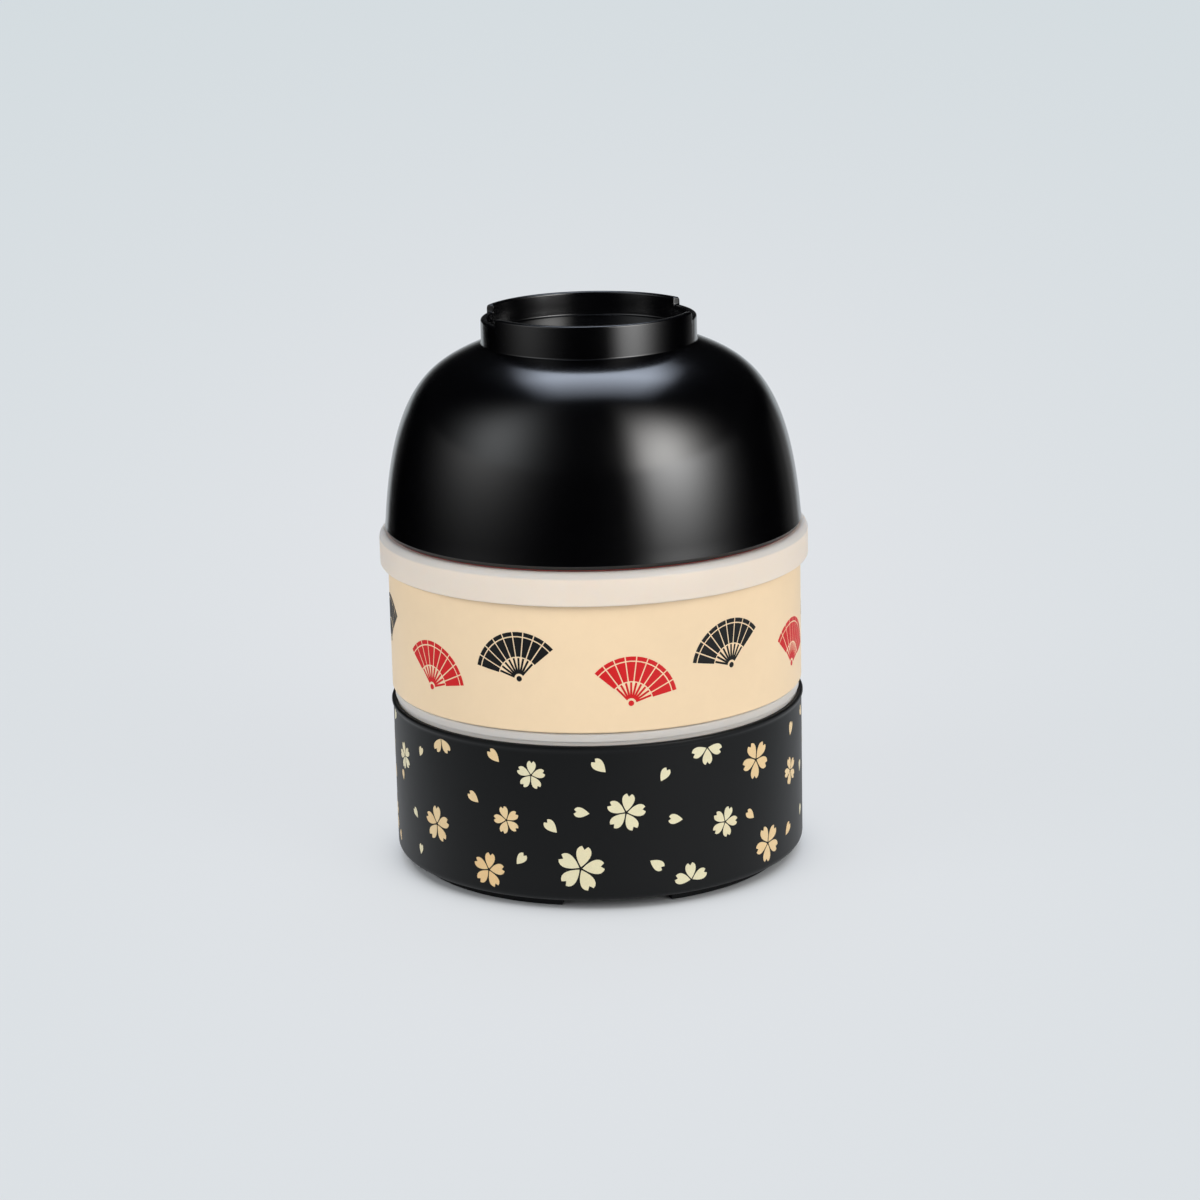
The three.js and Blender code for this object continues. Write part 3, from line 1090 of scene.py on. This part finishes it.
def strip(graph, steps):
    """Flat strip of ink, with wires that run across it from -1 to 1 and along it from 0 to 1."""
    net = graph.add("GeometryNodeMeshGrid", {
        "Size X": 2.0, "Size Y": 1.0, "Vertices X": 3, "Vertices Y": steps})
    across, up, _ = position(graph)
    return net, across, up + 0.5


class Blossom(NamedTuple):
    """Blossom on the lower wall: degrees to the right of the front, height and radius in millimetres,
    degrees of its first petal from upright, tint from pale to warm, and the petals that are printed."""

    # The tint is partly a two-tone print and partly a painted reflection: blossoms are mostly warm
    # towards the sides
    round: float
    height: float
    radius: float
    turn: float
    tint: float
    petals: tuple = (0, 1, 2, 3, 4)


class Petal(NamedTuple):
    """Loose petal on the lower wall, written like a blossom. Its turn is where the cleft tip points."""

    round: float
    height: float
    length: float
    turn: float
    tint: float


# One half of the scatter, from the left edge of the front to the right. It is repeated on the far side.
# Tints run mostly warm towards the sides and pale near the front: partly print, partly painted
# reflection.
BLOSSOMS = [
    Blossom(-69, 33, 3.9, -18, 0.15),
    Blossom(-51, 18.5, 5.1, 0, 0.8),
    Blossom(-48, 43, 4.6, -6, 0.75, (2, 3)),
    Blossom(-32, 9.5, 4.9, 8, 0.95),
    Blossom(-26, 24, 3.9, -17, 0.75),
    Blossom(-18.5, 37, 4.0, 4, 0.05),
    Blossom(-5.5, 12, 6.4, 12, 0.0),
    Blossom(7, 27, 5.3, 11, 0.0),
    Blossom(25, 6.5, 4.9, -4, 0.0, (0, 1, 4)),
    Blossom(30.5, 42, 4.8, 36, 0.0, (1, 2, 3)),
    Blossom(36, 20.5, 4.3, 24, 0.1),
    Blossom(48, 35, 5.3, -28, 0.85),
    Blossom(53, 10.5, 5.3, -27, 0.85),
    Blossom(67, 27, 4.0, -18, 0.8),
    Blossom(91, 32, 4.8, 12, 0.1),
    Blossom(94, 12, 5.4, -20, 0.8),
]
PETALS = [
    Petal(-76.5, 6.5, 3.4, -30, 0.8),
    Petal(-71, 25.5, 3.2, -10, 0.8),
    Petal(-61, 17.5, 3.4, -42, 0.1),
    Petal(-60, 7.5, 3.3, 8, 0.1),
    Petal(-58.5, 35.5, 3.2, 20, 0.4),
    Petal(-34.5, 27.5, 4.3, -54, 0.85),
    Petal(-27.5, 39.5, 4.6, -46, 0.8),
    Petal(-23.5, 12, 4.2, 39, 0.05),
    Petal(-11.5, 21.5, 4.7, -44, 0.05),
    Petal(-2.5, 27, 4.5, -82, 0.0),
    Petal(2, 38, 5.0, -44, 0.0),
    Petal(13, 13.5, 4.7, 125, 0.0),
    Petal(16.5, 34.5, 4.2, 32, 0.0),
    Petal(23, 23.5, 4.4, -80, 0.0),
    Petal(47, 19, 4.0, -48, 0.75),
    Petal(63, 9.5, 4.4, 46, 0.85),
    Petal(67, 36.5, 4.2, 17, 0.8),
    Petal(77, 11, 3.5, 15, 0.1),
    Petal(77, 23.5, 3.6, 10, 0.05),
    Petal(82, 38.5, 4.3, -50, 0.7),
    Petal(86, 21.5, 4.4, 70, 0.0),
    Petal(98, 23, 4.2, -35, 0.8),
    Petal(99, 40, 4.5, 40, 0.0),
]
PETAL_TURN = 72
PETAL_TIP = math.radians(71)
TINT_JITTER = 0.1
TINT_SEED = 7
# Where the sticks of a fan begin, in radii of its pivot
STICK_START = 1.8


def scattered_petals():
    """Every printed petal, one by one, on the whole wall."""
    for far_side in (0, 180):
        for blossom in BLOSSOMS:
            for fifth in blossom.petals:
                turn = blossom.turn + PETAL_TURN * fifth
                yield Petal(blossom.round + far_side, blossom.height, blossom.radius, turn, blossom.tint)
        for petal in PETALS:
            yield petal._replace(round=petal.round + far_side)


def petal_tree(graph, points):
    """Prints a petal on each incoming point, which holds its turn, its size and its tint."""
    net, across, up = strip(graph, PETAL_STEPS)
    swing = up * (PETAL_TIP + math.pi / 2) - math.pi / 2
    along = 0.5 + 0.5 * swing.maths("SINE")
    widest = 2 / 3 * math.sqrt(1 / 3)
    half = points["Width"] / 2 / widest * along * (1 - along).maths("SQRT")
    cleft = along * (1 - points["Cleft"] * (1 - across.maths("ABSOLUTE")))
    gap = points["Gap"]
    net = welded(graph, moved(graph, net, across * half, gap + cleft * (1 - gap), 0.0))
    jitter = graph.add("FunctionNodeRandomValue", {
        2: -TINT_JITTER, 3: TINT_JITTER, "Seed": TINT_SEED}, output=1, data_type="FLOAT")
    tinted = kept(graph, points, "tint", named(graph, "tint") + jitter)
    sheet = placed(graph, tinted, net, named(graph, "turn") * -1.0, named(graph, "size"))
    close_tree(graph, film_and_wrap(graph, sheet, points), [(points["Ink"], True)])


def blossom_print(settings):
    own = settings.prints
    wall = highest("lower_container").x - settings.lower.bead_proud
    petals = list(scattered_petals())
    piece = new_piece("blossom_print", [
        (math.radians(petal.round) * wall, petal.height * MM, 0.0) for petal in petals])
    values = {
        "turn": [math.radians(petal.turn) for petal in petals],
        "size": [petal.length * MM for petal in petals],
        "tint": [petal.tint for petal in petals],
    }
    for name, column in values.items():
        piece.data.attributes.new(name, "FLOAT", "POINT").data.foreach_set("value", column)
    grown(piece, petal_tree, {
        "Wall Radius": wall, "Film": own.film, "Root": own.root, "Width": own.petal_width,
        "Cleft": own.petal_cleft, "Gap": own.petal_gap, "Ink": finish("gold_ink")})
    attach(piece, "lower_container")


def open_fan(graph, entry, index):
    """One fan, upright over its pivot: blades with a hem, sticks and a rivet."""
    radius, line, blades = entry["Radius"], entry["Line"], entry["Blades"]
    pitch = entry["Opening"] / blades
    inner = radius - entry["Leaf"]
    hem = radius - entry["Hem"]

    def leaf_width(out):
        return (out * pitch - line) / 2

    def stick_width(out):
        return entry["Stick"] / 2

    def blade(start, end, half_width):
        """Slip of a blade from one radius to another."""
        net, across, up = strip(graph, BLADE_STEPS)
        out = start + (end - start) * up
        turn = across * half_width(out) / out
        return moved(graph, net, out * turn.maths("SINE"), out * turn.maths("COSINE"), 0.0)

    rib = joined(graph, [
        blade(inner, hem - line, leaf_width),
        blade(hem, radius, leaf_width),
        blade(entry["Pivot"] * STICK_START, inner - line, stick_width),
    ])
    hub = graph.add("GeometryNodePoints", {"Count": blades})
    ribs = placed(graph, hub, rib, (index + 0.5 - blades / 2) * pitch)
    rivet = graph.add("GeometryNodeMeshCircle", {
        "Vertices": RIVET_STEPS, "Radius": entry["Pivot"]}, fill_type="TRIANGLE_FAN")
    return joined(graph, [ribs, rivet])


def fan_tree(graph, entry):
    """Prints a ring of open fans, in two inks by turns."""
    index = graph.add("GeometryNodeInputIndex")
    odd = index.maths("MODULO", 2.0)
    sign = odd * 2.0 - 1.0
    turn = entry["First"] + index * math.tau / entry["Fans"]
    height = entry["Height"] + sign * entry["Stagger"]
    ring = graph.add("GeometryNodePoints", {
        "Count": entry["Fans"],
        "Position": graph.vector(turn * entry["Wall Radius"], height, 0.0)})
    ring = kept(graph, ring, "second", odd)
    sheet = placed(graph, ring, open_fan(graph, entry, index), sign * entry["Tilt"])
    close_tree(graph, film_and_wrap(graph, sheet, entry), [
        (entry["First Ink"], True), (entry["Second Ink"], named(graph, "second") > 0.5)])


def fan_print(settings):
    own, upper = settings.prints, settings.upper
    wall = highest("upper_container").x - upper.bead_proud
    shoulder = highest("upper_container").z - upper.wall_height
    piece = new_piece("fan_print", [(0.0, 0.0, 0.0)])
    grown(piece, fan_tree, {
        "Wall Radius": wall, "Film": own.film, "Root": own.root, "Fans": own.fans, "Blades": own.blades,
        "Radius": own.fan_radius, "Leaf": own.leaf_depth, "Hem": own.hem, "Line": own.line,
        "Stick": own.stick, "Pivot": own.pivot, "Opening": own.opening, "Tilt": own.tilt,
        "Stagger": own.stagger, "First": own.first_fan, "Height": shoulder + own.fan_height,
        "First Ink": finish("red_ink"), "Second Ink": finish("black_ink")})
    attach(piece, "upper_container")


# Stage

class Softbox(NamedTuple):
    """Soft glow in the dark room: degrees to the right of the front and above the horizon, and how far
    it spreads each way."""

    turn: float
    rise: float
    width: float
    height: float

    def glow(self, turn, rise):
        return hump(turn, self.turn, self.width) * hump(rise, self.rise, self.height)


KEY = Softbox(turn=45.2, rise=24.0, width=14.6, height=16.5)
FILL = Softbox(turn=-63.5, rise=30.5, width=17.0, height=18.0)
# Middle, half width and soft edge: of the key in degrees, overhead on a plane that lies one unit up
KEY_FRAME = (62.0, 38.0, 16.0)
OVERHEAD_ACROSS = (0.05, 0.35, 0.2)
OVERHEAD_DEEP = (0.5, 0.32, 0.6)
# Degrees between which the low glow behind comes up, round from its far side and down from above
BACK_FAR_SIDE = -8.0
BACK_ROUND = (120.0, 165.0)
BACK_DOWN = (8.0, -4.0)
NEUTRAL = (1.0, 1.0, 1.0)
WARM = (1.0, 0.99, 0.97)
COOL = (0.95, 0.98, 1.0)
SKY = (0.75, 0.84, 1.0)
HORIZON = 0.001
WASH_PLACE = Vector((-1.85, -1.07, 1.0))
REAR_WASH_PLACE = Vector((1.9, 0.9, 1.0))
PATCH_SOFTNESS = 0.5
PATCH_FADE = (0.3, 0.9)
SENSOR_WIDTH = 36.0


def ramp(wire, start, end):
    """0 at the start and 1 at the end, held there beyond them."""
    return ((wire - start) / (end - start)).clamped()


def floor_material(own):
    """Pale matt board that grows a little cooler away from the box; the paler floor round and behind the
    box is a painted pool of light.

    Part of its look is a plain glow, so that the shadow on it stays light, except close to the foot of
    the box. Far away it is all glow and runs into the backdrop. The glow adds no light to the box.
    """
    material, graph, place = new_material("floor")
    x, y, _ = graph.split(place)
    across, deep = x / own.patch_width, (y - own.patch_back) / own.patch_depth
    away = (across * across + deep * deep).maths("SQRT")
    # Painted pool of light: paler near the box, darker and cooler farther off
    far = ramp(away / (away + PATCH_SOFTNESS), *PATCH_FADE)

    def tinted(tone):
        tints = [opaque(shaded(tint, tone)) for tint in (own.painted_pool_floor, own.far_floor)]
        return graph.blend(far, *tints)

    board = plastic(graph, {
        "Base Color": tinted(own.floor_tone), "Roughness": 1.0, "Specular IOR Level": 0.0})
    path = graph.add("ShaderNodeLightPath", output="Is Camera Ray")
    seen = path.maths("MAXIMUM", path["Is Glossy Ray"])
    seen = seen.maths("MAXIMUM", path["Is Transmission Ray"])
    from_foot = (x * x + y * y).maths("SQRT") - own.shadow_start
    clear = 1.0 - (from_foot.maths("MAXIMUM", 0.0) / -own.shadow_fade).maths("EXPONENT")
    part = own.floor_glow + (1.0 - own.floor_glow) * far
    sockets = {0: seen * clear * part, 1: board, 2: emission(graph, tinted(1.0))}
    shown(graph, graph.add("ShaderNodeMixShader", sockets))
    return material


def softboxes(own, turn, rise):
    """Light of the two softboxes at the sides and of the low glow behind, from directions in degrees."""
    key = KEY.glow(turn, rise) * band(turn, *KEY_FRAME)
    behind = ramp((turn - BACK_FAR_SIDE).maths("ABSOLUTE"), *BACK_ROUND)
    back = behind * behind * ramp(rise, *BACK_DOWN)
    return key * own.key, FILL.glow(turn, rise) * own.fill, back * own.back


def studio_world(own):
    """Softboxes overhead, on the right and on the left, in a dark room."""
    world = bpy.data.worlds.new("studio")
    world.use_nodes = True
    world.node_tree.nodes.clear()
    graph = Graph(world.node_tree)
    x, y, z = graph.split(graph.add("ShaderNodeTexCoord", output="Generated"))
    above = z.maths("MAXIMUM", HORIZON)
    top = band(x / above, *OVERHEAD_ACROSS) * band(y / above, *OVERHEAD_DEEP) * (z > 0.0)
    key, fill, back = softboxes(own, bearing(x, y), z.maths("ARCSINE").maths("DEGREES"))
    glows = [(NEUTRAL, own.room), (WARM, key), (COOL, fill), (SKY, top * own.overhead), (COOL, back)]
    light = None
    for tint, strength in glows:
        glow = graph.add("ShaderNodeBackground", {"Color": opaque(tint), "Strength": strength})
        light = graph.add("ShaderNodeAddShader", {0: light, 1: glow}) if light else glow
    graph.add("ShaderNodeOutputWorld", {"Surface": light})
    return world


def wash_lamp(name, watts, size, place):
    """Wide soft lamp that points at the box. It has no reflection of its own."""
    data = bpy.data.lights.new(name, "AREA")
    data.shape = "DISK"
    data.size = size
    data.energy = watts
    lamp = bpy.data.objects.new(name, data)
    lamp.matrix_world = Matrix.Translation(place) @ place.to_track_quat("Z", "Y").to_matrix().to_4x4()
    lamp.visible_glossy = False
    return lamp


def screen(name, half_turn, reach, height):
    """Upright screen that stands round the box, as far to each side of the front as half_turn says.

    It gives no light and throws no shadow.
    """
    points, faces = [], []
    for step in range(SCREEN_STEPS + 1):
        turn = half_turn * (2 * step / SCREEN_STEPS - 1)
        x, y = reach * math.sin(turn), -reach * math.cos(turn)
        points += [(x, y, 0.0), (x, y, height)]
    for step in range(SCREEN_STEPS):
        faces.append((2 * step, 2 * step + 2, 2 * step + 3, 2 * step + 1))
    made = new_piece(name, points, faces)
    made.visible_diffuse = False
    made.visible_transmission = False
    made.visible_shadow = False
    return made


def backdrop(own):
    """Pale wall far behind the floor, which only the camera sees."""
    wall = screen("backdrop", math.pi, own.backdrop_reach, own.backdrop_height)
    material, graph, _ = new_material("backdrop")
    shown(graph, emission(graph, opaque(own.far_floor)))
    wall.data.materials.append(material)
    wall.visible_glossy = False
    return wall


def dark_card(own):
    """Low card round the front and the sides, which only reflections see.

    It is dark, so that black surfaces stay black, and shows the lower edges of the two softboxes.
    """
    card = screen("card", own.card_turn, own.card_reach, own.card_height)
    material, graph, place = new_material("card")
    x, y, z = graph.split(place)
    rise = ((z - own.card_horizon) / own.card_reach).maths("ARCTANGENT").maths("DEGREES")
    key, fill, back = softboxes(own, bearing(x, y), rise)
    shown(graph, emission(graph, key + fill + back))
    card.data.materials.append(material)
    card.visible_camera = False
    return card


def photo_camera(own):
    """Camera at the angle of the photograph."""
    data = bpy.data.cameras.new("camera")
    data.lens = own.lens
    data.sensor_width = SENSOR_WIDTH
    camera = bpy.data.objects.new("camera", data)
    down = Matrix.Rotation(math.pi / 2 - own.camera_pitch, 4, "X")
    roll = Matrix.Rotation(own.camera_roll, 4, "Z")
    place = Matrix.Translation((own.camera_side, -own.camera_front, own.camera_height))
    camera.matrix_world = place @ down @ roll
    return camera


def stage(settings):
    own = settings.stage
    scene = bpy.context.scene
    reach = own.floor_reach
    corners = [(-reach, -reach, 0.0), (reach, -reach, 0.0), (reach, reach, 0.0), (-reach, reach, 0.0)]
    floor = new_piece("floor", corners, [(0, 1, 2, 3)])
    floor.data.materials.append(floor_material(own))
    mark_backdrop(floor, dark_card(own), backdrop(own))
    camera = photo_camera(own)
    wash = wash_lamp("wash", own.wash, own.wash_size, WASH_PLACE)
    rear_wash = wash_lamp("rear_wash", own.rear_wash, own.wash_size, REAR_WASH_PLACE)
    for item in (camera, wash, rear_wash):
        scene.collection.objects.link(item)
    scene.camera = camera
    scene.world = studio_world(own)
    scene.view_settings.view_transform = "Standard"


# Operators

class LUNCHBOX_OT_lower_container(bpy.types.Operator):
    """Make the black container at the bottom"""

    bl_idname = "lunchbox.lower_container"
    bl_label = "Lower Container"

    def execute(self, context):
        lower_container(context.scene.lunchbox)
        return {"FINISHED"}


class LUNCHBOX_OT_blossom_print(bpy.types.Operator):
    """Print the gold blossoms on the lower container"""

    bl_idname = "lunchbox.blossom_print"
    bl_label = "Blossom Print"

    def execute(self, context):
        blossom_print(context.scene.lunchbox)
        return {"FINISHED"}


class LUNCHBOX_OT_upper_container(bpy.types.Operator):
    """Make the cream container in the middle"""

    bl_idname = "lunchbox.upper_container"
    bl_label = "Upper Container"

    def execute(self, context):
        upper_container(context.scene.lunchbox)
        return {"FINISHED"}


class LUNCHBOX_OT_fan_print(bpy.types.Operator):
    """Print the ring of fans on the upper container"""

    bl_idname = "lunchbox.fan_print"
    bl_label = "Fan Print"

    def execute(self, context):
        fan_print(context.scene.lunchbox)
        return {"FINISHED"}


class LUNCHBOX_OT_seal_lids(bpy.types.Operator):
    """Make the two milky lids"""

    bl_idname = "lunchbox.seal_lids"
    bl_label = "Seal Lids"

    def execute(self, context):
        lower_seal_lid(context.scene.lunchbox)
        upper_seal_lid(context.scene.lunchbox)
        return {"FINISHED"}


class LUNCHBOX_OT_food_divider(bpy.types.Operator):
    """Make the loose divider in the upper container"""

    bl_idname = "lunchbox.food_divider"
    bl_label = "Food Divider"

    def execute(self, context):
        food_divider(context.scene.lunchbox)
        return {"FINISHED"}


class LUNCHBOX_OT_soup_bowl(bpy.types.Operator):
    """Make the upturned soup bowl"""

    bl_idname = "lunchbox.soup_bowl"
    bl_label = "Soup Bowl"

    def execute(self, context):
        soup_bowl(context.scene.lunchbox)
        return {"FINISHED"}


class LUNCHBOX_OT_stage(bpy.types.Operator):
    """Set the floor, the studio light and the camera"""

    bl_idname = "lunchbox.stage"
    bl_label = "Stage"

    def execute(self, context):
        stage(context.scene.lunchbox)
        return {"FINISHED"}


OPERATORS = (
    LUNCHBOX_OT_lower_container,
    LUNCHBOX_OT_blossom_print,
    LUNCHBOX_OT_upper_container,
    LUNCHBOX_OT_fan_print,
    LUNCHBOX_OT_seal_lids,
    LUNCHBOX_OT_food_divider,
    LUNCHBOX_OT_soup_bowl,
    LUNCHBOX_OT_stage,
)


class LUNCHBOX_PT_pieces(bpy.types.Panel):
    """Pieces of the lunch box"""

    bl_idname = "LUNCHBOX_PT_pieces"
    bl_label = "Lunch Box"
    bl_space_type = "VIEW_3D"
    bl_region_type = "UI"
    bl_category = "Lunch Box"

    def draw(self, context):
        column = self.layout.column(align=True)
        for operator in OPERATORS:
            column.operator(operator.bl_idname)


CLASSES = (
    ContainerSizes,
    LowerContainerSizes,
    UpperContainerSizes,
    LidSizes,
    DividerSizes,
    BowlSizes,
    PrintSizes,
    Finishes,
    StageSettings,
    LunchBoxSettings,
    *OPERATORS,
    LUNCHBOX_PT_pieces,
)


def register():
    for item in CLASSES:
        bpy.utils.register_class(item)
    bpy.types.Scene.lunchbox = bpy.props.PointerProperty(type=LunchBoxSettings)


def unregister():
    del bpy.types.Scene.lunchbox
    for item in reversed(CLASSES):
        bpy.utils.unregister_class(item)


def main():
    register()
    bpy.ops.lunchbox.stage()
    bpy.ops.lunchbox.lower_container()
    bpy.ops.lunchbox.blossom_print()
    bpy.ops.lunchbox.upper_container()
    bpy.ops.lunchbox.fan_print()
    bpy.ops.lunchbox.seal_lids()
    bpy.ops.lunchbox.food_divider()
    bpy.ops.lunchbox.soup_bowl()
    boxes = {"cad": CAD_BOX, "visual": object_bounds()}
    {name: [list(corner) for corner in box] for name, box in boxes.items()}


if __name__ == "__main__":
    main()
